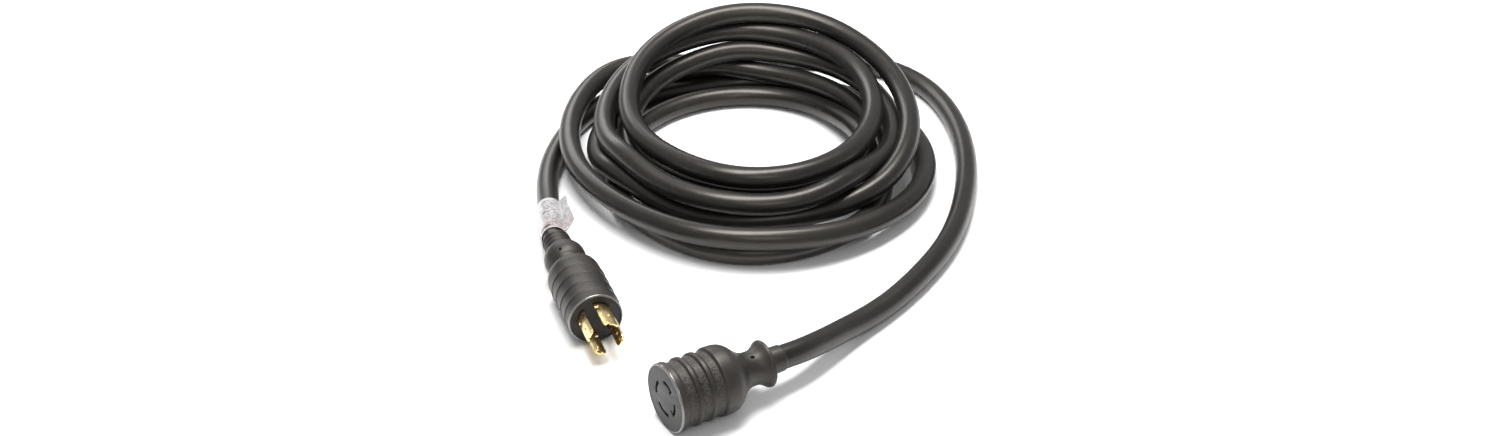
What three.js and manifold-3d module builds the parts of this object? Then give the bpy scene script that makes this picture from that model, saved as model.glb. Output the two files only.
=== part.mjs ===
// A four-conductor 30 A locking power cord: a moulded plug with four brass blades, a moulded
// connector with four slots, and the round rubber cable that lies coiled between them.
// Units are millimetres, +Z is up and the floor is z = 0. The origin lies on the floor below the
// middle of the box that the plug and the connector fill together.
import * as THREE from 'three';
import { mergeVertices } from 'three/addons/utils/BufferGeometryUtils.js';
import Module from 'manifold-3d';

const wasm = await Module();
wasm.setup();

// ---- driving dimensions ----
const GAP = 0.3; // between pieces that touch
const CABLE_R = 8.25; // jacket of four 10 AWG conductors
const BORE_R = CABLE_R + 0.35; // hole that grips the jacket
const WIRE_R = 2.2; // one insulated conductor
const WIRE_LAY_R = 3.6; // conductors' distance from the cable's axis
const BLADE_R = 11.8; // circle through the middle of the blades
const BLADE_T = 1.5; // blade thickness
const BLADE_OUT = 25; // blade length in front of the plug's rim
const TWIST = 10; // degrees that the plug turns to lock
const ROUND = 24; // sides of the moulded bodies

const PLUG = { face: [-38.5, 5.3, 19.6], heading: 109.5, turn: 22, core: 49.3, tail: 107 };
const CONNECTOR = { face: [11.5, -90, 23.2], heading: 31.5, turn: 15, core: 46.2, tail: 74.8 };
const BULB = { middle: 79.5, radius: 15 }; // the plug's round waist, along its axis
const PINHOLE = { s: 74.5, heading: 70 }; // vent in the bulb, with degrees round the axis
const COIL = { centre: [65.5, 246.6], inner: 74, outer: 148, height: 79 };
const LABEL = { from: 110, length: 60, gap: 0.6, wall: 0.5, flag: 10 };

// Poles in order round the blade circle, with each blade's width in degrees.
const POLES = [
  { name: 'ground', wire: 'green', span: 46, colour: 0x2f8f46 },
  { name: 'line_y', wire: 'red', span: 46, colour: 0xb3261e },
  { name: 'neutral', wire: 'white', span: 58, colour: 0xe8e6df },
  { name: 'line_x', wire: 'black', span: 46, colour: 0x1b1b1d },
];

// Hand-laid route of each free stretch, from where its straight moulded end stops.
const CONNECTOR_ROUTE = [
  [98.5, -33.9, 21.3], [113.5, -16.4, 17], [129.5, 4.1, 12.3], [148.3, 24.9, 9.2],
  [165.5, 47.6, 8.3], [180.5, 69.6, 8.3], [205.2, 114.6, 8.3], [217.5, 147.6, 8.3],
  [224.5, 176.6, 8.3], [230.5, 209.6, 8.3], [233.5, 241.6, 8.3], [233.5, 271.6, 8.3],
  [231, 303.6, 8.3], [223.5, 336.6, 8.3], [206.5, 375.6, 8.3], [182.5, 400.6, 8.3],
  [151.5, 415.6, 8.3], [117.5, 420.6, 8.3], [84.5, 416.6, 9.5], [45.5, 402.6, 13],
];
const PLUG_ROUTE = [
  [-77, 119.6, 17.4], [-79.5, 135.6, 14.8], [-82, 151.6, 12.2], [-84.5, 167.6, 10.2],
  [-86.8, 184.6, 8.9], [-89, 201.6, 8.3], [-89.8, 215.6, 8.3],
];

// ---- materials ----
const finish = (color, roughness, metalness = 0) =>
  new THREE.MeshStandardMaterial({ color, roughness, metalness });
const RUBBER = finish(0x2a2826, 0.62);
const JACKET = finish(0x262422, 0.45);
const NYLON = finish(0x17161a, 0.5);
const BRASS = finish(0xc79a3e, 0.28, 1);
const PAPER = finish(0xe9e7e4, 0.35);

// ---- solids ----
function toSolid(geometry) {
  const bare = geometry.clone();
  bare.deleteAttribute('normal');
  bare.deleteAttribute('uv');
  const merged = mergeVertices(bare, 1e-4);
  const vertProperties = new Float32Array(merged.attributes.position.array);
  const triVerts = new Uint32Array(merged.index.array);
  return new wasm.Manifold(new wasm.Mesh({ numProp: 3, vertProperties, triVerts }));
}

function toGeometry(solid) {
  const mesh = solid.getMesh();
  const geometry = new THREE.BufferGeometry();
  geometry.setAttribute('position', new THREE.BufferAttribute(new Float32Array(mesh.vertProperties), 3));
  geometry.setIndex(new THREE.BufferAttribute(new Uint32Array(mesh.triVerts), 1));
  return geometry;
}

function cut(geometry, tools) {
  return toGeometry(tools.reduce((solid, tool) => solid.subtract(toSolid(tool)), toSolid(geometry)));
}

function join(...geometries) {
  return toGeometry(geometries.map(toSolid).reduce((sum, solid) => sum.add(solid)));
}

// A solid of revolution about +Z. The outline is a closed run of [radius, z] points.
function revolve(outline, sides = ROUND) {
  const points = [...outline, outline[0]].map(([r, z]) => new THREE.Vector2(r, z));
  return new THREE.LatheGeometry(points, sides).rotateX(Math.PI / 2);
}

function disc(radius, sides) {
  const corner = (i) => (2 * Math.PI * i) / sides;
  return new THREE.Shape(
    Array.from({ length: sides }, (_, i) => new THREE.Vector2(Math.cos(corner(i)), Math.sin(corner(i)))
      .multiplyScalar(radius)),
  );
}

// A curved plate on the blade circle: radii, middle angle and width in degrees, and z range.
function plate(inner, outer, middle, span, from, to) {
  const start = THREE.MathUtils.degToRad(middle - span / 2);
  const end = THREE.MathUtils.degToRad(middle + span / 2);
  const shape = new THREE.Shape();
  shape.absarc(0, 0, outer, start, end, false);
  shape.absarc(0, 0, inner, end, start, true);
  shape.closePath();
  const depth = to - from;
  return new THREE.ExtrudeGeometry(shape, { depth, curveSegments: 5, bevelEnabled: false })
    .translate(0, 0, from);
}

function at(radius, degrees, z) {
  const angle = THREE.MathUtils.degToRad(degrees);
  return [radius * Math.cos(angle), radius * Math.sin(angle), z];
}

// ---- wires inside the two mouldings ----
function wire(angle, from, to, radius = WIRE_R) {
  const bend = (to - from) / 3;
  const path = new THREE.CubicBezierCurve3(
    new THREE.Vector3(...at(BLADE_R, angle, from)),
    new THREE.Vector3(...at(BLADE_R, angle, from + bend)),
    new THREE.Vector3(...at(WIRE_LAY_R, angle, to - bend)),
    new THREE.Vector3(...at(WIRE_LAY_R, angle, to)),
  );
  return new THREE.ExtrudeGeometry(disc(radius, 8), { extrudePath: path, steps: 6, bevelEnabled: false });
}

// The channel that holds a wire runs a little past both of its ends.
function channel(angle, from, to) {
  const radius = WIRE_R + GAP;
  const stub = (reach, z) => new THREE.CylinderGeometry(radius, radius, 2, 8)
    .rotateX(Math.PI / 2).translate(...at(reach, angle, z));
  return [wire(angle, from, to, radius), stub(BLADE_R, from), stub(WIRE_LAY_R, to + 0.5)];
}

// ---- plug: z = 0 at the rim, tail towards +z, blades towards -z ----
const FACE_T = 4.8;
const PLUG_FACE_R = 17.4;
const PLUG_FACE_Z = 0.8;
const TANG_END = 22;
const TANG_SPAN = 20;
const NOTCH = { from: -7, to: -3.2, span: 12 };
const SHANK_END = PLUG_FACE_Z + FACE_T + GAP;

function plugBody() {
  const body = [[17.9, 0], [19.1, 0.7]];
  for (const ring of [9.5, 21, 32.5, 43.5]) {
    body.push([19.1, ring - 0.9], [19.6, ring - 0.3], [19.6, ring + 0.3], [19.1, ring + 0.9]);
  }
  const shoulder = [[18.9, 55.5], [18.1, 58.5], [16.3, 61.4], [14, 64], [12, 66.5], [11.1, 68.6]];
  const bulb = [];
  for (let turn = 52; turn <= 140; turn += 11) {
    const angle = THREE.MathUtils.degToRad(turn);
    bulb.push([BULB.radius * Math.sin(angle), BULB.middle - BULB.radius * Math.cos(angle)]);
  }
  const sleeve = [];
  for (const rib of [95, 99.5, 104]) {
    sleeve.push([9.5, rib - 1.4], [10.2, rib - 0.6], [10.2, rib + 0.6], [9.5, rib + 1.4]);
  }
  const bore = [
    [9.2, PLUG.tail], [BORE_R, PLUG.tail], [BORE_R, PLUG.core + GAP], [10.7, PLUG.core + GAP],
    [15.8, 36.3], [15.8, SHANK_END], [PLUG_FACE_R + GAP, SHANK_END], [PLUG_FACE_R + GAP, 0],
  ];
  const outline = [...body, ...shoulder, ...bulb, ...sleeve, ...bore];
  const pinhole = new THREE.CylinderGeometry(0.8, 0.8, 4, 8)
    .translate(0, 14.1, PINHOLE.s)
    .rotateZ(THREE.MathUtils.degToRad(PINHOLE.heading - 90));
  return cut(revolve(outline), [pinhole]);
}

const bladeAngle = (index) => 270 + PLUG.turn + 90 * index;

function bladePlate(pole, angle, grow = 0) {
  const inner = BLADE_R - BLADE_T / 2 - grow;
  const outer = BLADE_R + BLADE_T / 2 + grow;
  const side = THREE.MathUtils.radToDeg(grow / BLADE_R) * 2;
  return { inner, outer, span: pole.span + side, tang: TANG_SPAN + side, angle };
}

function groundLeg(angle, span, grow, from, to) {
  const width = THREE.MathUtils.radToDeg((BLADE_T + 2 * grow) / BLADE_R);
  const edge = angle + span / 2 - width / 2 + THREE.MathUtils.radToDeg(grow / BLADE_R);
  return plate(BLADE_R - 4.2 - grow, BLADE_R + grow, edge, width, from, to);
}

function blade(pole, angle) {
  const b = bladePlate(pole, angle);
  const shank = plate(b.inner, b.outer, angle, b.span, -BLADE_OUT, SHANK_END - GAP);
  const tang = plate(b.inner, b.outer, angle, b.tang, SHANK_END - 2 * GAP, TANG_END);
  const parts = [shank, tang];
  if (pole.name === 'ground') {
    parts.push(groundLeg(angle, b.span, 0, -BLADE_OUT, SHANK_END - GAP));
  }
  const edge = angle - b.span / 2;
  const tools = [plate(b.inner - 1, b.outer + 1, edge, 2 * NOTCH.span, NOTCH.from, NOTCH.to)];
  for (const side of [-1, 1]) {
    const corner = angle + (side * b.span) / 2;
    tools.push(plate(b.inner - 1, b.outer + 1, corner, 8, -BLADE_OUT - 1, -BLADE_OUT + 1.5));
  }
  const hole = new THREE.CylinderGeometry(1, 1, 8, 12).rotateZ(-Math.PI / 2).translate(BLADE_R, 0, -14);
  tools.push(hole.rotateZ(THREE.MathUtils.degToRad(angle)));
  return cut(join(...parts), tools);
}

function plugFace() {
  const tools = [];
  POLES.forEach((pole, i) => {
    const b = bladePlate(pole, bladeAngle(i), GAP);
    tools.push(plate(b.inner, b.outer, b.angle, b.span, -1, FACE_T + 2));
    if (pole.name === 'ground') {
      tools.push(groundLeg(b.angle, pole.span, GAP, -1, FACE_T + 2));
    }
  });
  const top = PLUG_FACE_Z + FACE_T;
  return cut(revolve([[0, PLUG_FACE_Z], [PLUG_FACE_R, PLUG_FACE_Z], [PLUG_FACE_R, top], [0, top]]), tools);
}

function plugCore() {
  const outline = [[0, SHANK_END], [15.5, SHANK_END], [15.5, 36], [10.4, PLUG.core], [0, PLUG.core]];
  const tools = [];
  POLES.forEach((pole, i) => {
    const b = bladePlate(pole, bladeAngle(i), GAP);
    tools.push(plate(b.inner, b.outer, b.angle, b.tang, 0, TANG_END + GAP));
    tools.push(...channel(b.angle, TANG_END + GAP, PLUG.core));
  });
  return cut(revolve(outline), tools);
}

// ---- connector: z = 0 at the flat face, tail towards +z ----
const CONNECTOR_FACE = { radius: 21.6, front: 0.3, back: 4.3 };
const CLIP = { inner: 9.6, outer: 14, leaf: 0.9, front: 5.2, back: 24, web: 1.4, tang: 30 };
const POCKET_FRONT = CONNECTOR_FACE.back + GAP;

function connectorBody() {
  const rim = [[22.4, 0], [23.2, 0.9], [23.2, 5], [22, 6.2]];
  const bands = [
    [22, 12.4], [23, 13.5], [23, 16.1], [22, 17.2], [22, 22.4], [23, 23.5], [23, 26.2], [22, 27.3],
    [22, 32.6], [23, 34],
  ];
  const dome = [[23.2, 38], [22.8, 44], [21.2, 48], [18.4, 51], [15.6, 53.6], [13.4, 56.2]];
  const waist = [[12.2, 59], [11.6, 62.5], [11.8, 66], [12.8, 69]];
  const trumpet = [[14.5, 71.4], [15.8, 72.9], [15.8, 74.1], [14.8, CONNECTOR.tail]];
  const bore = [
    [BORE_R, CONNECTOR.tail], [BORE_R, CONNECTOR.core + GAP], [10.7, CONNECTOR.core + GAP],
    [17.3, 34.3], [17.3, POCKET_FRONT], [CONNECTOR_FACE.radius + GAP, POCKET_FRONT],
    [CONNECTOR_FACE.radius + GAP, 0],
  ];
  const pinhole = new THREE.CylinderGeometry(0.8, 0.8, 4, 8).translate(0, 12.2, 63);
  return cut(revolve([...rim, ...bands, ...dome, ...waist, ...trumpet, ...bore]), [pinhole]);
}

const slotAngle = (index) => 90 + CONNECTOR.turn - 90 * index;

// Slots sit where the blades enter, widened by the locking twist; two of them end in a hook.
function slotCuts(pole, angle) {
  const inner = BLADE_R - BLADE_T / 2 - 0.5;
  const outer = BLADE_R + BLADE_T / 2 + 0.5;
  const cuts = [plate(inner, outer, angle, pole.span + TWIST, -1, 6)];
  if (pole.name === 'ground' || pole.name === 'line_x') {
    cuts.push(plate(inner - 3, outer, angle + (pole.span + TWIST) / 2 - 5, 10, -1, 6));
  }
  return cuts;
}

function connectorFace() {
  const { radius, front, back } = CONNECTOR_FACE;
  const tools = POLES.flatMap((pole, i) => slotCuts(pole, slotAngle(i)));
  return cut(revolve([[0, front], [radius, front], [radius, back], [0, back]]), tools);
}

function contact(angle) {
  const span = 36;
  const { inner, outer, leaf, front, back, web, tang } = CLIP;
  return join(
    plate(inner, inner + leaf, angle, span, front, back),
    plate(outer - leaf, outer, angle, span, front, back),
    plate(inner, outer, angle, span, back - web, back),
    plate(BLADE_R - 0.8, BLADE_R + 0.8, angle, 16, back - GAP, tang),
  );
}

function contactCarrier() {
  const outline = [
    [0, POCKET_FRONT], [17, POCKET_FRONT], [17, 34], [10.4, CONNECTOR.core], [0, CONNECTOR.core],
  ];
  const tools = [];
  POLES.forEach((pole, i) => {
    const angle = slotAngle(i);
    const span = pole.span + TWIST;
    tools.push(plate(CLIP.inner - GAP, CLIP.outer + GAP, angle, span, 0, CLIP.back + GAP));
    tools.push(plate(BLADE_R - 1.1, BLADE_R + 1.1, angle, 19, CLIP.back - 1, CLIP.tang + GAP));
    tools.push(...channel(angle, CLIP.tang + GAP, CONNECTOR.core));
  });
  return cut(revolve(outline), tools);
}

// ---- cable ----
// Turns an end's own frame so that its +z runs from the face to the tail and its +y is up.
function place({ face, heading }) {
  const group = new THREE.Group();
  const tail = new THREE.Vector3(1, 0, 0).applyAxisAngle(
    new THREE.Vector3(0, 0, 1), THREE.MathUtils.degToRad(heading),
  );
  const up = new THREE.Vector3(0, 0, 1);
  group.quaternion.setFromRotationMatrix(
    new THREE.Matrix4().makeBasis(new THREE.Vector3().crossVectors(up, tail), up, tail),
  );
  group.position.set(...face);
  return group;
}

function pointOn({ face, heading }, distance) {
  const angle = THREE.MathUtils.degToRad(heading);
  return [face[0] + distance * Math.cos(angle), face[1] + distance * Math.sin(angle), face[2]];
}

// A lead runs straight through its moulding's bore and then follows its route.
function leadPath(end, route) {
  const straight = [end.core + 2 * GAP, (end.core + end.tail) / 2, end.tail, end.tail + 9];
  const points = [...straight.map((s) => pointOn(end, s)), ...route];
  return new THREE.CatmullRomCurve3(points.map((p) => new THREE.Vector3(...p)));
}

function sweep(path, shape, steps) {
  return new THREE.ExtrudeGeometry(shape, { extrudePath: path, steps, bevelEnabled: false });
}

// The coiled turns as one ring with the outer shape of the pile, flat where it lies on the floor.
function coil() {
  const { inner, outer, height } = COIL;
  const outline = [
    [inner + 3, 0], [outer - 7, 0], [outer, 10], [outer, 34], [outer - 11, 56], [outer - 30, height],
    [outer - 50, height - 5], [inner + 8, 48], [inner, 32], [inner, 8],
  ];
  return revolve(outline, 40).translate(...COIL.centre, 0);
}

// A wrap round the cable whose two ends are stuck together as a flag.
function label(path) {
  const whole = path.getLength();
  const start = LABEL.from - PLUG.core - 2 * GAP;
  const spot = (share) => path.getPointAt((start + LABEL.length * share) / whole);
  const wrapPath = new THREE.CatmullRomCurve3([0, 0.2, 0.4, 0.6, 0.8, 1].map(spot));
  const inner = CABLE_R + LABEL.gap;
  const ring = disc(inner + LABEL.wall, 12);
  ring.holes.push(new THREE.Path(disc(inner, 12).getPoints().reverse()));
  const along = spot(1).sub(spot(0));
  const middle = spot(0.5);
  const flag = new THREE.BoxGeometry(LABEL.flag, LABEL.length - 6, LABEL.wall)
    .translate(inner + LABEL.wall / 2 + LABEL.flag / 2, 0, 0)
    .rotateY(-0.6)
    .rotateX(Math.atan2(along.z, along.y))
    .rotateZ(Math.atan2(-along.x, along.y))
    .translate(middle.x, middle.y, middle.z);
  return join(sweep(wrapPath, ring, 6), flag);
}

// ---- assembly ----
const cord = new THREE.Group();

function add(parent, name, geometry, material) {
  const mesh = new THREE.Mesh(geometry, material);
  mesh.name = name;
  parent.add(mesh);
}

const plug = place(PLUG);
add(plug, 'plug_body', plugBody(), RUBBER);
add(plug, 'plug_face', plugFace(), NYLON);
add(plug, 'plug_core', plugCore(), NYLON);
POLES.forEach((pole, i) => {
  const angle = bladeAngle(i);
  add(plug, `blade_${pole.name}`, blade(pole, angle), BRASS);
  add(plug, `plug_wire_${pole.wire}`, wire(angle, TANG_END + GAP, PLUG.core), finish(pole.colour, 0.5));
});

const connector = place(CONNECTOR);
add(connector, 'connector_body', connectorBody(), RUBBER);
add(connector, 'connector_face', connectorFace(), NYLON);
add(connector, 'contact_carrier', contactCarrier(), NYLON);
POLES.forEach((pole, i) => {
  const angle = slotAngle(i);
  const insulated = wire(angle, CLIP.tang + GAP, CONNECTOR.core);
  add(connector, `contact_${pole.name}`, contact(angle), BRASS);
  add(connector, `connector_wire_${pole.wire}`, insulated, finish(pole.colour, 0.5));
});

cord.add(plug, connector);
const jacket = disc(CABLE_R, 10);
const plugPath = leadPath(PLUG, PLUG_ROUTE);
add(cord, 'connector_lead', sweep(leadPath(CONNECTOR, CONNECTOR_ROUTE), jacket, 34), JACKET);
add(cord, 'plug_lead', sweep(plugPath, jacket, 14), JACKET);
add(cord, 'cable_coil', coil(), JACKET);
add(cord, 'rating_label', label(plugPath), PAPER);

export default cord;
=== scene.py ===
"""A locking shore power cord lying in a loose coil: the looks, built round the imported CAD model.

The frame's units are metres. A moulded end is drawn in millimetres on its own axis: s runs from the
face at 0 to the tail, and angles turn about that axis from the local +x towards the top.
"""

import math

import bmesh
import bpy
import numpy as np
from mathutils import Matrix, Vector


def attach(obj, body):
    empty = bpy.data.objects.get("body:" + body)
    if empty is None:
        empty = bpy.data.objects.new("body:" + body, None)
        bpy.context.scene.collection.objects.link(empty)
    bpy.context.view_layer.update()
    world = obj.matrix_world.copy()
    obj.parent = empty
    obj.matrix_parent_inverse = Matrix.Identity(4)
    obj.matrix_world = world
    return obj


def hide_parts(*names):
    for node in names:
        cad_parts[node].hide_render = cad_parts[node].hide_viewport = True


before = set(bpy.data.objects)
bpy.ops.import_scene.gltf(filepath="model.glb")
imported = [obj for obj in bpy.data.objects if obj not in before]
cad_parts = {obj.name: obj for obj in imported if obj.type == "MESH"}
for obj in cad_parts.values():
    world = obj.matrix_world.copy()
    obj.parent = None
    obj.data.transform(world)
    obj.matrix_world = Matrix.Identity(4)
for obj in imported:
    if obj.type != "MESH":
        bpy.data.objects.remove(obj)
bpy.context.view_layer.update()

MM = 0.001
BODY = "root"


# ---- camera ----
def make_camera():
    data = bpy.data.cameras.new("camera")
    data.sensor_width = 36
    data.lens = 48
    camera = bpy.data.objects.new("camera", data)
    camera.location = (0.0653, -1.1152, 0.7726)
    camera.rotation_euler = (math.radians(59), 0, 0)
    bpy.context.collection.objects.link(camera)
    bpy.context.scene.camera = camera


make_camera()

# ---- the cord's route ----
CABLE_R = 8.25 * MM
PLUG = {"face": (-0.0385, 0.0053, 0.0196), "heading": 109.5, "turn": 22, "inside": 85, "tail": 107}
CONNECTOR = {"face": (0.0115, -0.09, 0.0232), "heading": 31.5, "turn": 15, "inside": 60, "tail": 74.8}

# The free stretches: from the connector to the coil, and from the coil to the plug.
CONNECTOR_ROUTE = [
    (0.0985, -0.0339, 0.0213), (0.1135, -0.0164, 0.017), (0.1295, 0.0041, 0.0123),
    (0.1483, 0.0249, 0.0092), (0.1655, 0.0476, 0.0083), (0.1805, 0.0696, 0.0083),
    (0.2052, 0.1146, 0.0083), (0.2175, 0.1476, 0.0083), (0.2245, 0.1766, 0.0083),
    (0.2305, 0.2096, 0.0083), (0.2335, 0.2416, 0.0083), (0.2335, 0.2716, 0.0083),
    (0.231, 0.3036, 0.0083), (0.2235, 0.3366, 0.0083), (0.2065, 0.3756, 0.0083),
    (0.1825, 0.4006, 0.0083), (0.1515, 0.4156, 0.0083), (0.1175, 0.4206, 0.0083),
    (0.0845, 0.4166, 0.0095), (0.0455, 0.4026, 0.013),
]
PLUG_ROUTE = [
    (-0.0898, 0.2156, 0.0083), (-0.089, 0.2016, 0.0083), (-0.0868, 0.1846, 0.0089),
    (-0.0845, 0.1676, 0.0102), (-0.082, 0.1516, 0.0122), (-0.0795, 0.1356, 0.0148),
    (-0.077, 0.1196, 0.0174),
]

# The coil: where the middle of the cable lies on the left, front, right and back of each turn, as
# its distance from the coil's middle and its height, in millimetres. The distances are taken from
# the strands where they show. The heights and the hidden turns follow a fit closely, and so do the
# arriving and leaving stretches and the pressed place.
COIL_CENTRE = (0.0653, 0.2406)
TURNS = [
    [(139, 22), (139, 22), (136, 11), (137, 8)],
    [(118, 19), (100, 15), (122, 40), (139, 70)],
    [(91, 47), (87, 44), (93, 45), (138, 55)],
    [(112, 38), (106, 33), (111, 31), (132, 39)],
    [(94, 25), (87, 26), (89, 21), (112, 8)],
    [(104, 8), (135, 8), (103, 10), (129, 23)],
]
ARRIVING = (135, 165, 27)  # heading from the coil's middle, distance and height before the first turn
LEAVING = (135, 156, 9)  # and the same after the last one
PRESSED = (228, 6)  # the heading where the whole coil is pressed in a little, and how far
PER_TURN = 48  # points worked out for one turn


def direction(heading):
    angle = math.radians(heading)
    return Vector((math.cos(angle), math.sin(angle), 0))


def point_on(end, s):
    return Vector(end["face"]) + s * MM * direction(end["heading"])


def hermite(keys, values, at):
    """A smooth run through the values, read at every place in at."""
    slopes = np.gradient(values, keys)
    i = np.clip(np.searchsorted(keys, at, side="right") - 1, 0, len(keys) - 2)
    gap = keys[i + 1] - keys[i]
    u = (at - keys[i]) / gap
    return (
        (2 * u**3 - 3 * u**2 + 1) * values[i]
        + (u**3 - 2 * u**2 + u) * gap * slopes[i]
        + (3 * u**2 - 2 * u**3) * values[i + 1]
        + (u**3 - u**2) * gap * slopes[i + 1]
    )


def coil_points():
    """The turns worked out from their four sides, between the arriving and the leaving stretch."""
    stations = [ARRIVING]
    for turn, sides in enumerate(TURNS):
        for quarter, (distance, height) in enumerate(sides):
            stations.append((180 + 360 * turn + 90 * quarter, distance, height))
    stations.append((LEAVING[0] + 360 * len(TURNS), *LEAVING[1:]))
    stations = np.array(stations, float)
    angles = stations[:, 0]
    at = np.arange(angles[0], angles[-1], 360 / PER_TURN)
    pressed = PRESSED[1] * np.clip(np.cos(np.radians(at - PRESSED[0])), 0, 1) ** 8
    radius = (hermite(angles, stations[:, 1], at) - pressed) * MM
    height = np.maximum(hermite(angles, stations[:, 2] * MM, at), CABLE_R)
    turned = np.radians(at)
    x = COIL_CENTRE[0] + radius * np.cos(turned)
    y = COIL_CENTRE[1] + radius * np.sin(turned)
    return np.stack([x, y, height], axis=1)


def even(points, step):
    """The same run with its points a step apart, on a smooth curve through the given ones."""
    along = np.r_[0, np.cumsum(np.linalg.norm(np.diff(points, axis=0), axis=1))]
    at = np.linspace(0, along[-1], int(round(along[-1] / step)) + 1)
    return np.stack([hermite(along, points[:, k], at) for k in range(3)], axis=1)


def smoother(count, strength):
    """A matrix that evens out the bends of a run of points and leaves steady curves as they are."""
    third = np.zeros((count - 3, count))
    for row, line in enumerate(third):
        line[row:row + 4] = (-1, 3, -3, 1)
    return np.linalg.inv(np.eye(count) + strength * third.T @ third)


CLEARANCE = 2 * CABLE_R + 0.15 * MM  # between the middles of two touching stretches
SETTLING, RESTING = 160, 40  # rounds with the draft still pulling, and rounds without it
DRAFT_PULL = 0.12
PUSH = 1.2
STIFF, SOFT = 6.0, 0.3  # how strongly bends are evened out while settling and while resting
STRAIGHT_ENDS = 14  # points at each end that the moulded ends keep in line


def settle(points, step):
    """Lets the drafted run find its place: stiff, lying on the floor and pushed clear of itself."""
    draft = points.copy()
    count = len(points)
    soft, stiff = smoother(count, SOFT), smoother(count, STIFF)
    first, second = np.triu_indices(count, math.ceil(2.2 * CLEARANCE / step))
    hold = STRAIGHT_ENDS
    for turn in range(SETTLING + RESTING):
        settling = turn < SETTLING
        if settling:
            points += DRAFT_PULL * (draft - points)
        points = (stiff if settling else soft) @ points
        points[:hold], points[-hold:] = draft[:hold], draft[-hold:]
        for _ in range(3):
            near = np.abs(points[first, 0] - points[second, 0]) < CLEARANCE
            i, j = first[near], second[near]
            apart = points[i] - points[j]
            distance = np.linalg.norm(apart, axis=1)
            touching = distance < CLEARANCE
            i, j, apart, distance = i[touching], j[touching], apart[touching], distance[touching]
            push = 0.5 * ((CLEARANCE - distance) / distance)[:, None] * apart
            total, hits = np.zeros_like(points), np.zeros(count)
            np.add.at(total, i, push)
            np.add.at(total, j, -push)
            np.add.at(hits, i, 1)
            np.add.at(hits, j, 1)
            points = points + PUSH * total / np.maximum(hits, 1)[:, None]
            points[:, 2] = np.maximum(points[:, 2], CABLE_R)
    return points


DRAFT_STEP = 8 * MM
ROUTE_STEP = 4 * MM
CABLE_START = 52  # millimetres from either face to where the cable begins inside its moulding
PAST_TAIL = 9  # and how far past the moulding's tail it still runs straight


def straight_end(end):
    places = (CABLE_START, end["inside"], end["tail"], end["tail"] + PAST_TAIL)
    return [point_on(end, s) for s in places]


def cord_route():
    there = [*straight_end(CONNECTOR), *map(Vector, CONNECTOR_ROUTE)]
    back = [*map(Vector, PLUG_ROUTE), *reversed(straight_end(PLUG))]
    run = np.concatenate([np.array(there), coil_points(), np.array(back)])
    return even(settle(even(run, DRAFT_STEP), DRAFT_STEP), ROUTE_STEP)


route = cord_route()


# ---- materials ----
class Recipe:
    """A Principled material built node by node. Its place vector is the piece's own 'lay' (metres)."""

    def __init__(self, name, colour, roughness, metallic=0.0):
        self.material = bpy.data.materials.new(name)
        self.material.use_nodes = True
        self.tree = self.material.node_tree
        self.shader = self.tree.nodes["Principled BSDF"]
        self.set(**{"Base Color": (*colour, 1), "Roughness": roughness, "Metallic": metallic})
        self.lay = self.node("ShaderNodeAttribute", attribute_name="lay").outputs["Vector"]
        self.height = None

    def set(self, **values):
        for socket, value in values.items():
            self.shader.inputs[socket].default_value = value

    def node(self, kind, inputs=None, **settings):
        made = self.tree.nodes.new(kind)
        for name, value in settings.items():
            setattr(made, name, value)
        for socket, value in (inputs or {}).items():
            if isinstance(value, bpy.types.NodeSocket):
                self.tree.links.new(value, made.inputs[socket])
            else:
                made.inputs[socket].default_value = value
        return made

    def math(self, operation, a, b=0.0, clamp=False):
        made = self.node("ShaderNodeMath", {0: a, 1: b}, operation=operation, use_clamp=clamp)
        return made.outputs[0]

    def noise(self, size, detail=3.0, stretch=(1, 1, 1), rough=0.55):
        """Noise whose grains are about size metres across, drawn out by stretch."""
        scaled = self.node(
            "ShaderNodeVectorMath", {0: self.lay, 1: [1 / s for s in stretch]}, operation="MULTIPLY"
        ).outputs[0]
        inputs = {"Vector": scaled, "Scale": 1 / size, "Detail": detail, "Roughness": rough}
        return self.node("ShaderNodeTexNoise", inputs).outputs["Fac"]

    def ramp(self, value, low, high, smooth=True):
        """0 below low, 1 above high."""
        kind = "SMOOTHSTEP" if smooth else "LINEAR"
        inputs = {"Value": value, "From Min": low, "From Max": high}
        return self.node("ShaderNodeMapRange", inputs, interpolation_type=kind).outputs["Result"]

    def span(self, value, low, high):
        inputs = {"Value": value, "To Min": low, "To Max": high}
        return self.node("ShaderNodeMapRange", inputs).outputs["Result"]

    def mix(self, amount, first, second):
        made = self.node("ShaderNodeMix", data_type="RGBA")
        for index, value in ((0, amount), (6, first), (7, second)):
            if isinstance(value, bpy.types.NodeSocket):
                self.tree.links.new(value, made.inputs[index])
            else:
                made.inputs[index].default_value = value if index == 0 else (*value, 1)
        return made.outputs[2]

    def link(self, socket, value):
        self.tree.links.new(value, self.shader.inputs[socket])

    def part(self, axis):
        return self.node("ShaderNodeSeparateXYZ", {0: self.lay}).outputs[axis]

    def bump(self, value, depth, strength=1.0):
        """Adds a relief of that depth in metres on top of what is there already."""
        inputs = {"Height": value, "Distance": depth, "Strength": strength}
        if self.height is not None:
            inputs["Normal"] = self.height
        self.height = self.node("ShaderNodeBump", inputs).outputs["Normal"]
        self.link("Normal", self.height)


WARM = (1.0, 0.91, 0.82, 1)
STRIP_ANGLE = 0.5  # radians from the cable's side, towards its top
STRIP_HALF = 0.2


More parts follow.
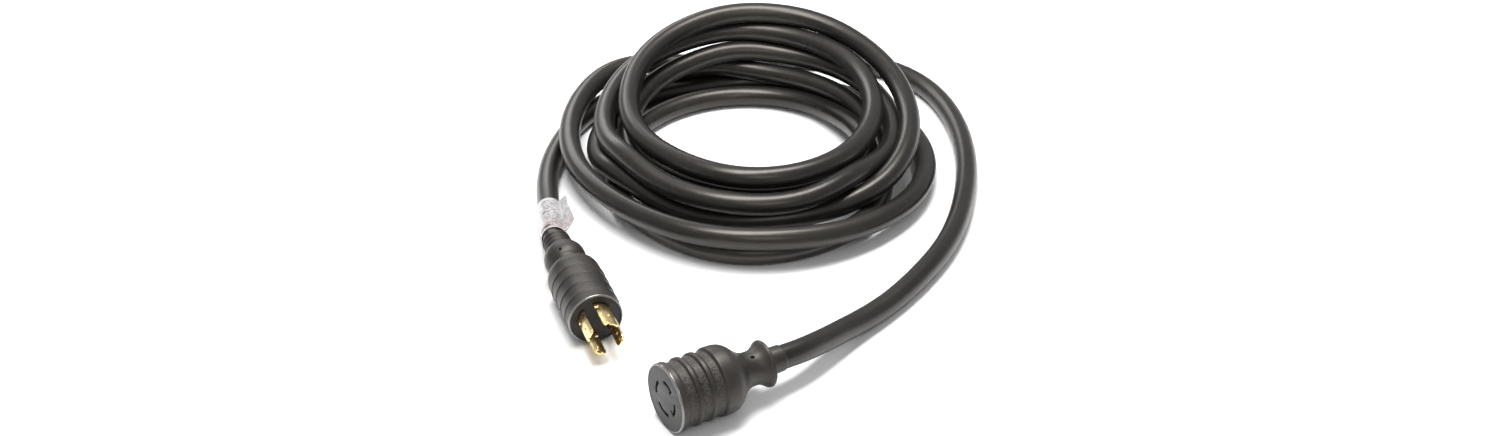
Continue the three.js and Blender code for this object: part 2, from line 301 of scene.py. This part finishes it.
def jacket_material():
    """Satin rubber with fine drawn lines along the cable, rubbed patches and a faintly rough strip."""
    m = Recipe("jacket_rubber", (0.015, 0.014, 0.013), 0.4)
    cloud = m.noise(0.035, 4, (1, 1, 4))
    lines = m.noise(0.0011, 3, (1, 1, 60))
    mottle = m.noise(0.004, 5)
    colour = m.mix(m.ramp(cloud, 0.35, 0.7), (0.006, 0.0056, 0.0053), (0.014, 0.0128, 0.0115))
    colour = m.mix(m.math("MULTIPLY", m.ramp(mottle, 0.55, 0.8), 0.5), colour, (0.028, 0.025, 0.022))
    m.link("Base Color", colour)
    rough = m.math("ADD", m.span(cloud, 0.24, 0.44), m.span(lines, -0.05, 0.07))
    m.link("Roughness", m.math("ADD", rough, m.span(mottle, -0.04, 0.06)))
    m.bump(lines, 0.00012, 0.55)
    m.bump(mottle, 0.0002, 0.35)
    # The strip along one side where the jacket is unevenly pressed, in stretches.
    side = m.math("ARCTAN2", m.part("Y"), m.part("X"))
    strip = m.math("COMPARE", side, STRIP_ANGLE)
    strip.node.inputs[2].default_value = STRIP_HALF
    stretches = m.ramp(m.noise(0.03, 0, (4, 4, 1.6)), 0.5, 0.56)
    pressed = m.ramp(m.noise(0.0017, 2), 0.47, 0.58)
    relief = m.math("MULTIPLY", m.math("MULTIPLY", strip, stretches), pressed)
    m.bump(relief, 0.00022, 0.7)
    m.set(**{"Coat Weight": 0.12, "Coat Roughness": 0.2, "Specular IOR Level": 0.45, "Specular Tint": WARM})
    return m.material


def moulded_material(name="moulded_rubber", stipple=False):
    """Matte moulded rubber with a fine grain; the gripping grooves are coarsely stippled, their specks
    painted lighter as painted glints.
    """
    m = Recipe(name, (0.035, 0.033, 0.031), 0.55)
    cloud = m.noise(0.02, 4)
    grain = m.noise(0.0006, 3)
    colour = m.mix(m.ramp(cloud, 0.3, 0.72), (0.01, 0.0093, 0.009), (0.022, 0.02, 0.0185))
    if stipple:
        stipple_and_glints = m.ramp(m.noise(0.0011, 1), 0.4, 0.65)
        # Painted glints: the stipple's specks are coloured lighter than the rubber around them; their
        # relief is real.
        colour = m.mix(m.math("MULTIPLY", stipple_and_glints, 0.4), colour, (0.07, 0.066, 0.062))
        m.bump(stipple_and_glints, 0.0003, 0.7)
    m.link("Base Color", colour)
    m.link("Roughness", m.math("ADD", m.span(cloud, 0.36, 0.52), m.span(grain, -0.05, 0.08)))
    m.bump(grain, 0.00012, 0.5)
    m.set(**{"Specular IOR Level": 0.45, "Coat Weight": 0.06, "Coat Roughness": 0.3, "Specular Tint": WARM})
    return m.material


def rim_highlight_material():
    """The moulding's front edge, polished by handling to a gloss; its lighter grey colour is a painted
    highlight.
    """
    m = Recipe("polished_rim_painted_highlight", (0.09, 0.087, 0.085), 0.22)
    cloud = m.noise(0.01, 3)
    # Painted highlight: the edge is coloured a much lighter grey than the rubber behind it.
    m.link("Base Color", m.mix(cloud, (0.07, 0.067, 0.065), (0.16, 0.155, 0.15)))
    m.link("Roughness", m.span(cloud, 0.15, 0.3))
    m.bump(m.noise(0.0008, 2), 0.00006, 0.4)
    m.set(**{"Coat Weight": 1.0, "Coat Roughness": 0.12, "Specular IOR Level": 0.9})
    return m.material


def nylon_material(name, colour, bright, specular):
    """Hard moulded plastic, evenly matte with a fine grain."""
    m = Recipe(name, colour, 0.45)
    cloud = m.noise(0.012, 4)
    grain = m.noise(0.0008, 3)
    m.link("Base Color", m.mix(m.ramp(cloud, 0.3, 0.7), colour, bright))
    m.link("Roughness", m.math("ADD", m.span(cloud, 0.38, 0.52), m.span(grain, -0.05, 0.07)))
    m.bump(grain, 0.0001, 0.45)
    m.set(**{"Specular IOR Level": specular})
    return m.material


def brass_material():
    """Stamped brass: bright, a little stained, with fine drawn scratches along the blade."""
    m = Recipe("blade_brass", (0.8, 0.56, 0.19), 0.25, 1.0)
    stain = m.noise(0.006, 4)
    scratch = m.noise(0.0007, 3, (1, 1, 18))
    colour = m.mix(m.ramp(stain, 0.35, 0.75), (0.95, 0.76, 0.4), (0.78, 0.57, 0.24))
    m.link("Base Color", colour)
    m.link("Roughness", m.math("ADD", m.span(stain, 0.14, 0.34), m.span(scratch, -0.04, 0.09)))
    m.bump(scratch, 0.00005, 0.5)
    return m.material


def wire_material(name, colour):
    m = Recipe(f"wire_{name}", colour, 0.4)
    cloud = m.noise(0.006, 3)
    darker = tuple(0.7 * c for c in colour)
    m.link("Base Color", m.mix(m.ramp(cloud, 0.3, 0.7), darker, colour))
    m.link("Roughness", m.span(cloud, 0.32, 0.5))
    m.bump(m.noise(0.0006, 2), 0.00005, 0.4)
    return m.material


# ---- mesh helpers ----
def build(name, points, faces, materials, lay=None, face_slots=None, smooth=True):
    """A mesh piece in the frame. lay is each point's place on its own axis, in metres."""
    mesh = bpy.data.meshes.new(name)
    mesh.from_pydata([tuple(p) for p in points], [], faces)
    for material in materials:
        mesh.materials.append(material)
    if face_slots is not None:
        mesh.polygons.foreach_set("material_index", face_slots)
    mesh.polygons.foreach_set("use_smooth", [smooth] * len(faces))
    places = np.asarray(points if lay is None else lay, float)
    mesh.attributes.new("lay", "FLOAT_VECTOR", "POINT").data.foreach_set("vector", places.ravel())
    mesh.validate()
    mesh.update()
    piece = bpy.data.objects.new(name, mesh)
    bpy.context.collection.objects.link(piece)
    return piece


def frame_of(end):
    """Turns a moulded end's own millimetres into the frame: its z runs from the face to the tail."""
    tail = direction(end["heading"])
    up = Vector((0, 0, 1))
    side = up.cross(tail)
    turn = Matrix((side, up, tail)).transposed().to_4x4()
    return Matrix.Translation(end["face"]) @ turn @ Matrix.Scale(MM, 4)


def placed(end, local):
    matrix = np.array(frame_of(end))
    return np.asarray(local) @ matrix[:3, :3].T + matrix[:3, 3]


def grid_faces(rows, columns, wrap_rows=False, wrap_columns=True):
    faces = []
    for i in range(rows if wrap_rows else rows - 1):
        for j in range(columns if wrap_columns else columns - 1):
            a, b = i, (i + 1) % rows
            c, d = j, (j + 1) % columns
            faces.append((a * columns + c, a * columns + d, b * columns + d, b * columns + c))
    return faces


def rounded(corners, steps=4):
    """A run of (s, radius, fillet) corners as points, with each corner turned by a small curve."""
    points = []
    for k, (s, r, fillet) in enumerate(corners):
        here = np.array((s, r), float)
        if fillet <= 0 or k in (0, len(corners) - 1):
            points.append(here)
            continue
        before = np.array(corners[k - 1][:2], float) - here
        after = np.array(corners[k + 1][:2], float) - here
        start = here + before * min(0.48, fillet / np.linalg.norm(before))
        finish = here + after * min(0.48, fillet / np.linalg.norm(after))
        for u in np.linspace(0, 1, steps + 1):
            points.append((1 - u) ** 2 * start + 2 * u * (1 - u) * here + u**2 * finish)
    return np.array(points)


def flowing(keys, step):
    """A smooth (s, radius) run through a few keys."""
    keys = np.array(keys, float)
    at = np.arange(keys[0, 0], keys[-1, 0], step)
    return np.stack([at, hermite(keys[:, 0], keys[:, 1], at)], axis=1)


def turned_angles(sides, hole_angle, hole_radius, at_radius):
    """Angles round a turned body, closer together where a pinhole goes in."""
    plain = np.linspace(0, 2 * math.pi, sides, endpoint=False)
    if hole_angle is None:
        return plain
    reach = 2.2 * hole_radius / at_radius
    plain = plain[np.abs((plain - hole_angle + math.pi) % (2 * math.pi) - math.pi) > reach]
    close = hole_angle + np.linspace(-reach, reach, 23)
    return np.sort(np.r_[plain, close % (2 * math.pi)])


def turned(name, end, outline, materials, slots=None, sides=112, hole=None):
    """A body turned from a closed (s, radius) outline. hole is its (s, degrees, radius)."""
    outline = np.asarray(outline, float)
    if hole:
        near = np.abs(outline[:, 0] - hole[0])
        width = outline[near < 3][:, 1].max()
        angles = turned_angles(sides, math.radians(hole[1]), hole[2], width)
    else:
        angles = turned_angles(sides, None, 0, 1)
    rows, columns = len(outline), len(angles)
    s = np.repeat(outline[:, 0], columns)
    radius = np.repeat(outline[:, 1], columns)
    angle = np.tile(angles, rows)
    if hole:
        across = (angle - math.radians(hole[1])) * radius
        distance = np.hypot(across, s - hole[0])
        outside = radius > CABLE_R / MM + 1
        depth = np.clip((hole[2] * 1.25 - distance) / (hole[2] * 0.35), 0, 1)
        radius = radius - np.where(outside, 2.4 * depth**2 * (3 - 2 * depth), 0)
    local = np.stack([radius * np.cos(angle), radius * np.sin(angle), s], axis=1)
    faces = grid_faces(rows, columns, wrap_rows=True)
    face_slots = None
    if slots is not None:
        face_slots = np.repeat([slots(outline[i], outline[(i + 1) % rows]) for i in range(rows)], columns)
    return build(name, placed(end, local), faces, materials, local * MM, face_slots)


def arc(radius, start, end, step=3.0):
    """Points on a circle from one angle to another, in degrees."""
    count = max(2, int(abs(end - start) / step) + 1)
    turn = np.radians(np.linspace(start, end, count))
    return np.stack([radius * np.cos(turn), radius * np.sin(turn)], axis=1)


def plate_mesh(loops, thickness, edge):
    """A flat plate with softened edges: the first loop is its outline and the others are openings."""
    curve = bpy.data.curves.new("plate", "CURVE")
    curve.dimensions = "2D"
    curve.fill_mode = "BOTH"
    curve.extrude = thickness / 2 - edge
    curve.bevel_depth = edge
    curve.bevel_resolution = 2
    curve.offset = -edge
    for loop in loops:
        spline = curve.splines.new("POLY")
        spline.points.add(len(loop) - 1)
        for point, place in zip(spline.points, loop):
            point.co = (place[0], place[1], 0, 1)
        spline.use_cyclic_u = True
    shell = bpy.data.objects.new("plate", curve)
    mesh = bpy.data.meshes.new_from_object(shell)
    bpy.data.objects.remove(shell)
    bpy.data.curves.remove(curve)
    return mesh


def finish_plate(name, end, mesh, local_of, materials, cuts=()):
    """Slices the plate's mesh finer, moves its points by local_of and puts it in the frame."""
    work = bmesh.new()
    work.from_mesh(mesh)
    bpy.data.meshes.remove(mesh)
    bmesh.ops.remove_doubles(work, verts=work.verts, dist=0.001)
    for place, normal in cuts:
        every = work.verts[:] + work.edges[:] + work.faces[:]
        bmesh.ops.bisect_plane(work, geom=every, plane_co=place, plane_no=normal, dist=1e-4)
    bmesh.ops.recalc_face_normals(work, faces=work.faces[:])
    local = np.array([local_of(v.co) for v in work.verts])
    work.verts.index_update()
    faces = [[v.index for v in face.verts] for face in work.faces]
    work.free()
    piece = build(name, placed(end, local), faces, materials, local * MM)
    piece.data.set_sharp_from_angle(angle=math.radians(38))
    return piece


# ---- the moulded bodies ----
BORE_R = 8.6
FACE_LEVEL = 0.8
PLUG_RINGS = (9.5, 21, 32.5, 43.5)
SLEEVE_RIBS = (95, 99.5, 104)
BULB = {"middle": 79.5, "radius": 15}
GROOVES = ((6.2, 12.4), (17.2, 22.4), (27.3, 32.6))
GROOVE_R = 21.4
SKIN_R = 17.75  # a moulding's outside lies beyond this, and its bore within
RIM_END = 1.1
PLUG_PINHOLE = (74.5, 70, 0.95)  # place along the body, degrees round it, radius
CONNECTOR_PINHOLE = (63, 107, 1.05)


def plug_body():
    rim = [(0, 17.9, 0), (0, 18.6, 0.25), (0.7, 19.1, 0.5)]
    rings = [
        corner
        for s in PLUG_RINGS
        for corner in (
            (s - 1.1, 19.05, 0.4), (s - 0.5, 19.62, 0.35), (s + 0.5, 19.62, 0.35), (s + 1.1, 19.05, 0.4)
        )
    ]
    front = rounded([*rim, *rings, (52, 19.05, 0)])
    shoulder = [(52.4, 19.1), (55.5, 18.95), (58.5, 18.1), (61.4, 16.3), (64, 14), (66.5, 12), (68.6, 11.1)]
    bends = [math.radians(degrees) for degrees in range(52, 142, 6)]
    bulb = [(BULB["middle"] - BULB["radius"] * math.cos(u), BULB["radius"] * math.sin(u)) for u in bends]
    middle = flowing([*shoulder, *bulb], 0.3)
    ribs = [
        corner
        for s in SLEEVE_RIBS
        for corner in (
            (s - 1.5, 9.45, 0.4), (s - 0.7, 10.3, 0.4), (s + 0.7, 10.3, 0.4), (s + 1.5, 9.45, 0.4)
        )
    ]
    tail = rounded([(91.6, 9.45, 0), *ribs, (106.4, 9.3, 0.4), (107, 8.9, 0.3), (107, BORE_R, 0)])
    bore = [(49.6, BORE_R), (49.6, 10.7), (36.3, 15.8), (5.9, 15.8), (5.9, 17.7), (0.3, 17.7)]
    outline = np.concatenate([front, middle, tail, np.array(bore)])
    return turned("plug_shell", PLUG, outline, [MOULDED, RIM_HIGHLIGHT, MOULDED], finish_at, hole=PLUG_PINHOLE)


def finish_at(first, second):
    """Which of a moulding's materials its skin has between two points of its outline."""
    low, high = sorted((first[0], second[0]))
    outside = min(first[1], second[1]) > SKIN_R
    # The front edge, which takes the glossy material with the painted highlight.
    if outside and high < RIM_END:
        return 1
    return 2 if outside and any(a - 0.1 <= low and high <= b + 0.1 for a, b in GROOVES) else 0


def connector_body():
    rim = [(0, 22.1, 0), (0, 22.5, 0.2), (0.9, 23.2, 0.7), (5, 23.2, 0.6), (6.2, GROOVE_R, 0.5)]
    bands = [
        (12.4, GROOVE_R, 0.5), (13.5, 23, 0.8), (16.1, 23, 0.8), (17.2, GROOVE_R, 0.5),
        (22.4, GROOVE_R, 0.5), (23.5, 23, 0.8), (26.2, 23, 0.8), (27.3, GROOVE_R, 0.5),
        (32.6, GROOVE_R, 0.5), (33.9, 23.15, 0.9), (35.6, 23.3, 0),
    ]
    front = rounded([*rim, *bands], 5)
    dome = [
        (36, 23.3), (40, 23.15), (43.5, 22.6), (46.5, 21.2), (49, 19.2), (51.2, 17), (53.6, 14.9),
        (56.4, 13.1), (59.4, 12), (62.6, 11.65), (65.6, 11.9), (68.2, 12.9), (70.4, 14.3),
        (71.8, 15.4),
    ]
    middle = flowing(dome, 0.5)
    flange = rounded(
        [(72, 15.55, 0), (73, 16, 0.5), (74.2, 16, 0.5), (74.8, 15.2, 0.5), (74.8, 12.6, 0.8),
         (73.6, 10.4, 0.8), (73.6, BORE_R, 0)]
    )
    bore = [(46.5, BORE_R), (46.5, 10.7), (34.3, 17.3), (4.6, 17.3), (4.6, 21.9), (0.3, 21.9)]
    outline = np.concatenate([front, middle, flange, np.array(bore)])
    materials = [MOULDED, RIM_HIGHLIGHT, STIPPLED]
    return turned("connector_shell", CONNECTOR, outline, materials, finish_at, 128, hole=CONNECTOR_PINHOLE)


def cord_grip():
    """The short collar where the jacket goes into the connector."""
    outer = rounded(
        [(72, BORE_R + 0.05, 0), (74, 9.2, 0.3), (86.2, 8.95, 0.3), (87, 8.45, 0.4), (87, 8.3, 0)]
    )
    outline = np.concatenate([outer, np.array([(86.8, 8.26), (72, 8.26)])])
    return turned("connector_collar", CONNECTOR, outline, [MOULDED], sides=72)


# ---- blades, slots and faces ----
BLADE_R = 11.8
BLADE_T = 1.5
BLADE_OUT = 25
TWIST = 10
SHANK_END = 5.6
POLES = (("ground", "green", 46), ("line_y", "red", 46), ("neutral", "white", 58), ("line_x", "black", 46))


def blade_angle(index):
    return 270 + PLUG["turn"] + 90 * index


def slot_angle(index):
    return 90 + CONNECTOR["turn"] - 90 * index


def on_circle(degrees):
    return math.radians(degrees) * BLADE_R


def blade_outline(span):
    """The blade laid flat: across the plate, and along it from the tip at -BLADE_OUT to its shank."""
    half = on_circle(span) / 2
    tip, notch_in, notch_out = -BLADE_OUT, -7, -3.2
    corners = [
        (-half, SHANK_END, 0), (-half, notch_out, 0.3), (-half + 2.4, notch_out, 0.3),
        (-half + 2.4, notch_in, 0.3), (-half, notch_in, 0.5), (-half, tip + 2.2, 0.8),
        (-half + 1, tip, 0.5), (-half + 2.6, tip, 0.2), (-half + 2.6, tip + 1.3, 0.3),
        (-half + 4.1, tip + 1.3, 0.3), (-half + 4.1, tip, 0.2), (half - 1, tip, 0.5),
        (half, tip + 2.2, 0.8), (half, SHANK_END, 0),
    ]
    return rounded(corners, 3)


def blade(pole, span, angle):
    half = on_circle(span) / 2
    ring = 1.05 * arc(1, 0, 345, 15) + (0, -15)
    mesh = plate_mesh([blade_outline(span), ring], BLADE_T, 0.28)
    dimple = (0.0, -BLADE_OUT + 3.6)

    def local_of(co):
        dent = 0.45 * math.exp(-((co.x - dimple[0]) ** 2 + (co.y - dimple[1]) ** 2) / 0.9)
        reach = BLADE_R + co.z - dent
        turn = math.radians(angle) + co.x / BLADE_R
        return (reach * math.cos(turn), reach * math.sin(turn), co.y)

    cuts = [((x, 0, 0), (1, 0, 0)) for x in np.arange(-half + 0.5, half, 0.7)]
    cuts += [((0, y, 0), (0, 1, 0)) for y in np.arange(-BLADE_OUT + 1, -BLADE_OUT + 6.5, 0.6)]
    cuts += [((0, y, 0), (0, 1, 0)) for y in range(-18, 5, 3)]
    return finish_plate(f"{pole}_prong", PLUG, mesh, local_of, [BRASS], cuts)


def ground_leg(span, angle):
    """The folded side of the ground blade, which points towards the middle of the plug."""
    depth = 4.2
    outline = rounded(
        [(0, SHANK_END, 0), (0, -BLADE_OUT + 0.8, 0.5), (0.6, -BLADE_OUT, 0.5),
         (depth - 1.4, -BLADE_OUT, 0.6), (depth, -BLADE_OUT + 1.6, 0.9), (depth, SHANK_END, 0)], 3
    )
    mesh = plate_mesh([outline], BLADE_T, 0.28)
    middle = math.radians(angle + span / 2) - BLADE_T / 2 / BLADE_R
    inwards = np.array((math.cos(middle), math.sin(middle)))
    sideways = np.array((-math.sin(middle), math.cos(middle)))

    def local_of(co):
        place = (BLADE_R - co.x) * inwards + co.z * sideways
        return (place[0], place[1], co.y)

    return finish_plate("ground_prong_leg", PLUG, mesh, local_of, [BRASS])


def slot_outline(angle, span, inner, outer, hook=0):
    """A curved slot; a hooked one turns towards the middle at its far end."""
    start, end = angle - span / 2, angle + span / 2
    run = [arc(outer, start, end)]
    if hook:
        run.append(arc(inner - hook, end, end - 8))
        run.append(arc(inner, end - 8, start))
    else:
        run.append(arc(inner, end, start))
    return np.concatenate(run)


def face_plate(name, end, loops, radius, front, back, edge, material):
    mesh = plate_mesh([arc(radius, 0, 357, 3), *loops], back - front, edge)
    middle = (front + back) / 2
    return finish_plate(name, end, mesh, lambda co: (co.x, co.y, co.z + middle), [material])


def connector_face():
    loops = [
        slot_outline(
            slot_angle(i), span + TWIST - 4, 10.65, 12.95, 2.2 if pole in ("ground", "line_x") else 0
        )
        for i, (pole, _, span) in enumerate(POLES)
    ]
    return face_plate("connector_front", CONNECTOR, loops, 21.75, 0.3, 4.3, 0.22, FACE_NYLON)


def plug_face():
    side = 3
    loops = [
        slot_outline(blade_angle(i), span + side, 10.75, 12.85, 3.6 if pole == "ground" else 0)
        for i, (pole, _, span) in enumerate(POLES)
    ]
    return face_plate("plug_front", PLUG, loops, 17.6, FACE_LEVEL, 5.6, 0.15, NYLON)


# ---- the cable ----
def travelling_frames(points):
    """At each point, the run's direction and two directions square to it that never twist."""
    ahead = np.gradient(points, axis=0)
    ahead /= np.linalg.norm(ahead, axis=1)[:, None]
    side = np.cross((0, 0, 1), ahead[0])
    sides = []
    for direction_here in ahead:
        side = side - direction_here * side.dot(direction_here)
        side /= np.linalg.norm(side)
        sides.append(side)
    sides = np.array(sides)
    return ahead, sides, np.cross(ahead, sides)


def tube(name, points, radius, material, sides=24):
    ahead, side, top = travelling_frames(points)
    turn = np.linspace(0, 2 * math.pi, sides, endpoint=False)
    x, y = radius * np.cos(turn), radius * np.sin(turn)
    skin = points[:, None] + x[None, :, None] * side[:, None] + y[None, :, None] * top[:, None]
    along = np.r_[0, np.cumsum(np.linalg.norm(np.diff(points, axis=0), axis=1))]
    lay = np.stack(np.broadcast_arrays(x[None, :], y[None, :], along[:, None]), axis=2)
    rows = len(points)
    faces = grid_faces(rows, sides)
    last = (rows - 1) * sides
    faces += [tuple(range(sides))[::-1], tuple(range(last, last + sides))]
    return build(name, skin.reshape(-1, 3), faces, [material], lay.reshape(-1, 3))


# ---- the label ----
LABEL = {"from": 110, "length": 60, "gap": 0.45, "wall": 0.3}
FLAG_UP = 34  # degrees that the flag stands above level


def label_material():
    """Glossy white vinyl with ruled lines and rows of small grey marks, tinted pink at one end."""
    m = Recipe("label_vinyl", (0.8, 0.79, 0.78), 0.25)
    around, along = m.part("X"), m.part("Y")
    cloud = m.noise(0.012, 4)
    paper = m.mix(m.ramp(cloud, 0.3, 0.8), (0.42, 0.41, 0.41), (0.3, 0.295, 0.3))
    blush = m.math("MULTIPLY", m.ramp(along, 0.034, 0.012), m.span(m.noise(0.009, 3), 0.2, 0.9))
    paper = m.mix(blush, paper, (0.3, 0.22, 0.22))
    row = m.math("FRACT", m.math("DIVIDE", along, 0.0031))
    line = m.math("MULTIPLY", m.ramp(row, 0.3, 0.36), m.ramp(row, 0.74, 0.68))
    marks = m.ramp(m.noise(0.0016, 1, (1, 4, 1)), 0.46, 0.52)
    margin = m.math("MULTIPLY", m.ramp(along, 0.003, 0.005), m.ramp(along, 0.057, 0.055))
    printed = m.math("MULTIPLY", m.math("MULTIPLY", line, marks), margin)
    colour = m.mix(m.math("MULTIPLY", printed, 0.85), paper, (0.05, 0.045, 0.05))
    for place, width, span in ((0.0415, 0.0007, 0.011), (0.0335, 0.0005, 0.02)):
        near = m.math("COMPARE", along, place)
        near.node.inputs[2].default_value = width
        across = m.math("COMPARE", around, 0.0)
        across.node.inputs[2].default_value = span
        colour = m.mix(m.math("MULTIPLY", near, across), colour, (0.02, 0.02, 0.02))
    m.link("Base Color", colour)
    m.link("Roughness", m.span(cloud, 0.16, 0.34))
    m.bump(m.noise(0.008, 2), 0.0004, 0.4)
    m.set(**{"Coat Weight": 0.2, "Coat Roughness": 0.15})
    return m.material


def flag_width(share):
    """How far the flag stands out along the label, from its end near the plug to its far end."""
    keys = np.array([0, 0.06, 0.2, 0.45, 0.75, 0.93, 1.0])
    widths = np.array([1.5, 6.5, 10.2, 9.2, 7.4, 7.6, 7.0])
    return float(np.interp(share, keys, widths))


def rating_label():
    """One strip wrapped round the cable, with its two ends stuck together as a flag."""
    back = route[::-1]
    along = np.r_[0, np.cumsum(np.linalg.norm(np.diff(back, axis=0), axis=1))]
    start = (LABEL["from"] - CABLE_START) * MM
    at = start + np.linspace(0, LABEL["length"] * MM, 41)
    middle = np.stack([np.interp(at, along, back[:, k]) for k in range(3)], axis=1)
    smooth = np.stack([hermite(at[::8], middle[::8, k], at) for k in range(3)], axis=1)
    ahead, side, top = travelling_frames(smooth)
    inner = CABLE_R + LABEL["gap"] * MM
    wall = LABEL["wall"] * MM
    turns = np.radians(np.linspace(4, 356, 49))
    points, lay = [], []
    for k, centre in enumerate(smooth):
        share = k / (len(smooth) - 1)
        right = -side[k] if side[k][0] < 0 else side[k]
        up = top[k] if top[k][2] > 0 else -top[k]
        out = math.cos(math.radians(FLAG_UP)) * right + math.sin(math.radians(FLAG_UP)) * up
        over = np.cross(ahead[k], out)
        puff = 1 + 0.05 * math.sin(math.pi * share)
        wide = flag_width(share) * MM
        curl = 1.6 * MM * (share - 0.35)
        ring, strip = [], []
        for turn in turns:
            reach = inner * puff + wall
            ring.append(centre + reach * (math.cos(turn) * out + math.sin(turn) * over))
            strip.append((turn - math.pi) * reach)
        flags = []
        for sign, root in ((1, ring[0]), (-1, ring[-1])):
            run = []
            for u in np.linspace(0.12, 1, 7):
                place = root + out * wide * u + over * (sign * wall * 0.45 - curl * u * u)
                spread = centre + out * (inner + wide * u) + over * (sign * wall * 0.6 - curl * u * u)
                run.append(0.25 * place * (1 - u) + spread * (1 - 0.25 * (1 - u)))
            flags.append(run)
        outer = [*flags[0][::-1], *ring, *flags[1]]
        lengths = [strip[0] - wide * u for u in np.linspace(1, 0.12, 7)] + strip
        lengths += [strip[-1] + wide * u for u in np.linspace(0.12, 1, 7)]
        points += outer
        lay += [(length, at[k] - start, 0) for length in lengths]
    columns = len(turns) + 14
    faces = grid_faces(len(smooth), columns, wrap_columns=False)
    piece = build("cable_label", points, faces, [LABEL_VINYL], lay)
    thick = piece.modifiers.new("wall", "SOLIDIFY")
    thick.thickness = wall
    thick.offset = 0
    return piece


# ---- everything together ----
MOULDED = moulded_material()
# The grooves' stippled rubber, its specks coloured lighter as painted glints.
STIPPLED = moulded_material("moulded_rubber_stippled", True)
# The front edge's glossy material, with its painted highlight.
RIM_HIGHLIGHT = rim_highlight_material()
NYLON = nylon_material("insulator_nylon", (0.012, 0.0115, 0.0115), (0.024, 0.023, 0.023), 0.3)
FACE_NYLON = nylon_material("connector_nylon", (0.022, 0.0215, 0.0215), (0.036, 0.035, 0.035), 0.4)
BRASS = brass_material()
JACKET = jacket_material()
LABEL_VINYL = label_material()
WIRE_COLOURS = {
    "green": (0.03, 0.25, 0.07),
    "red": (0.45, 0.02, 0.015),
    "white": (0.75, 0.74, 0.7),
    "black": (0.015, 0.015, 0.015),
}
WIRES = {name: wire_material(name, colour) for name, colour in WIRE_COLOURS.items()}


def add(piece, slot, *nodes):
    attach(piece, BODY)
    if nodes:
        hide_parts(*nodes)
    return piece


cable = add(tube("cable", route, CABLE_R, JACKET), "jacket", "connector_lead", "plug_lead", "cable_coil")
add(connector_body(), "overmould", "connector_body")
add(connector_face(), "insulator", "connector_face")
add(cord_grip(), "overmould")
shell = add(plug_body(), "overmould", "plug_body")
front = add(plug_face(), "insulator", "plug_face")
label = add(rating_label(), "label", "rating_label")

for i, (pole, _, span) in enumerate(POLES):
    add(blade(pole, span, blade_angle(i)), "brass", f"blade_{pole}")
add(ground_leg(POLES[0][2], blade_angle(0)), "brass")

HIDDEN = {"plug_core": NYLON, "contact_carrier": NYLON}
for pole, wire, _ in POLES:
    HIDDEN[f"contact_{pole}"] = BRASS
    HIDDEN[f"plug_wire_{wire}"] = HIDDEN[f"connector_wire_{wire}"] = WIRES[wire]
for node, material in HIDDEN.items():
    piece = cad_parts[node]
    for slot in piece.material_slots:
        slot.material = material


# ---- floor and light ----
def floor():
    size = 6.0
    mesh = bpy.data.meshes.new("floor")
    mesh.from_pydata(
        [(-size, -size, 0), (size, -size, 0), (size, size, 0), (-size, size, 0)], [], [(0, 1, 2, 3)]
    )
    material = bpy.data.materials.new("floor_white")
    material.use_nodes = True
    nodes, links = material.node_tree.nodes, material.node_tree.links
    shader = nodes["Principled BSDF"]
    cloud = nodes.new("ShaderNodeTexNoise")
    cloud.inputs["Scale"].default_value = 3
    tones = nodes.new("ShaderNodeValToRGB")
    tones.color_ramp.elements[0].color = (0.9, 0.9, 0.9, 1)
    tones.color_ramp.elements[1].color = (0.93, 0.93, 0.93, 1)
    links.new(cloud.outputs["Fac"], tones.inputs["Fac"])
    links.new(tones.outputs["Color"], shader.inputs["Base Color"])
    shader.inputs["Roughness"].default_value = 0.9
    shader.inputs["Specular IOR Level"].default_value = 0.1
    mesh.materials.append(material)
    ground = bpy.data.objects.new("floor", mesh)
    bpy.context.collection.objects.link(ground)


def softbox(name, place, aim, width, height, power):
    data = bpy.data.lights.new(name, "AREA")
    data.shape = "RECTANGLE"
    data.size, data.size_y = width, height
    data.energy = power
    lamp = bpy.data.objects.new(name, data)
    lamp.location = place
    lamp.rotation_euler = (Vector(aim) - Vector(place)).to_track_quat("-Z", "Y").to_euler()
    bpy.context.collection.objects.link(lamp)


def lighting():
    world = bpy.data.worlds.new("studio")
    world.use_nodes = True
    world.node_tree.nodes["Background"].inputs["Color"].default_value = (1, 1, 1, 1)
    world.node_tree.nodes["Background"].inputs["Strength"].default_value = 0.45
    bpy.context.scene.world = world
    middle = (0.07, 0.2, 0)
    softbox("overhead", (0.05, 0.22, 1.15), middle, 1.1, 0.42, 24)
    softbox("back", (-0.5, 1.3, 0.7), middle, 0.9, 0.3, 5)
    softbox("front", (0.3, -1.4, 1.3), middle, 0.9, 0.4, 5)
    bpy.context.scene.view_settings.view_transform = "Standard"


floor()
lighting()
